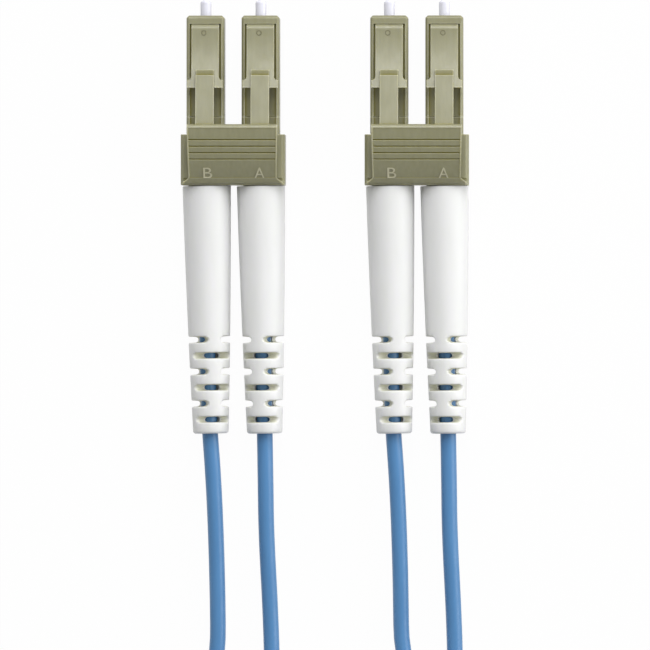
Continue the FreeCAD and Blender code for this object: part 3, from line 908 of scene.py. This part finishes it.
def make_camera():
    """A long lens that looks down on the plugs from slightly to the right, framed as the photo is."""
    middle = PHOTO_PIXELS / 2
    x = (middle - ORIGIN_PIXEL[0]) / PIXELS_PER_MM
    y = (ORIGIN_PIXEL[1] - middle) / PIXELS_PER_MM
    data = bpy.data.cameras.new("camera")
    width = PHOTO_PIXELS / PIXELS_PER_MM
    data.lens = data.sensor_width * CAMERA_DISTANCE / width
    camera = bpy.data.objects.new("camera", data)
    tilt = math.radians(CAMERA_TILT)
    away = Vector((math.sin(tilt), 0, math.cos(tilt)))
    camera.location = (Vector((x, y, AXIS_Z)) + away * CAMERA_DISTANCE) * MM
    camera.rotation_euler = (0, tilt, 0)
    bpy.context.scene.collection.objects.link(camera)
    bpy.context.scene.camera = camera


def whitened(tree, lit, glow, share):
    """Mix a lit shader with a share of plain glow where the camera, a reflection or glass looks at it."""
    path = tree.nodes.new("ShaderNodeLightPath")
    seen = path.outputs["Is Camera Ray"]
    for ray in ("Is Glossy Ray", "Is Transmission Ray"):
        either = tree.nodes.new("ShaderNodeMath")
        either.operation = "MAXIMUM"
        tree.links.new(seen, either.inputs[0])
        tree.links.new(path.outputs[ray], either.inputs[1])
        seen = either.outputs["Value"]
    part = tree.nodes.new("ShaderNodeMath")
    part.operation = "MULTIPLY"
    part.inputs[1].default_value = share
    tree.links.new(seen, part.inputs[0])
    mix = tree.nodes.new("ShaderNodeMixShader")
    tree.links.new(part.outputs["Value"], mix.inputs["Fac"])
    tree.links.new(lit, mix.inputs[1])
    tree.links.new(glow, mix.inputs[2])
    return mix.outputs["Shader"]


def make_floor():
    """A pale floor that shows white and keeps a soft shadow."""
    shape = bmesh.new()
    bmesh.ops.create_grid(shape, x_segments=1, y_segments=1, size=FLOOR_REACH)
    material, tree, shader = new_material("floor")
    shader.inputs["Base Color"].default_value = (FLOOR_GREY, FLOOR_GREY, FLOOR_GREY, 1)
    shader.inputs["Roughness"].default_value = FLOOR_ROUGHNESS
    shader.inputs["Specular IOR Level"].default_value = 0.0
    glow = tree.nodes.new("ShaderNodeEmission")
    surface = whitened(tree, shader.outputs["BSDF"], glow.outputs["Emission"], FLOOR_WHITE)
    tree.links.new(surface, tree.nodes["Material Output"].inputs["Surface"])
    floor = bpy.data.objects.new("floor", to_mesh("floor", shape, material))
    floor.location = (0, 0, -FLOOR_DROP * MM)
    bpy.context.scene.collection.objects.link(floor)


def make_world():
    """Even studio light that shows white behind the object."""
    world = bpy.data.worlds.new("studio")
    bpy.context.scene.world = world
    world.use_nodes = True
    tree = world.node_tree
    fill = tree.nodes["Background"]
    fill.inputs["Color"].default_value = WHITE
    fill.inputs["Strength"].default_value = FILL_LEVEL
    backdrop = tree.nodes.new("ShaderNodeBackground")
    backdrop.inputs["Color"].default_value = WHITE
    backdrop.inputs["Strength"].default_value = 1.0
    surface = whitened(tree, fill.outputs["Background"], backdrop.outputs["Background"], 1.0)
    tree.links.new(surface, tree.nodes["World Output"].inputs["Surface"])


def make_lamp(name, towards, size, level):
    """A square soft lamp. At level 1 it alone shows a surface square to it in its own colour."""
    data = bpy.data.lights.new(name, "AREA")
    data.shape = "SQUARE"
    data.size = size * MM
    data.energy = level * (math.pi * LAMP_DISTANCE * MM) ** 2
    lamp = bpy.data.objects.new(name, data)
    direction = Vector(towards).normalized()
    lamp.location = direction * LAMP_DISTANCE * MM
    lamp.rotation_euler = direction.to_track_quat("Z", "Y").to_euler()
    bpy.context.scene.collection.objects.link(lamp)


finish_nodes()
make_boots()
make_springs()
make_letters()
make_marks()
make_fibre_ends()
coil_straps = make_straps()
for cord_name, cord_ends in CORDS.items():
    make_cord(cord_name, coil_straps, *cord_ends)
make_camera()
make_floor()
make_world()
for lamp_name, lamp_facts in LAMPS.items():
    make_lamp(lamp_name, *lamp_facts)

bpy.context.scene.view_settings.view_transform = "Standard"
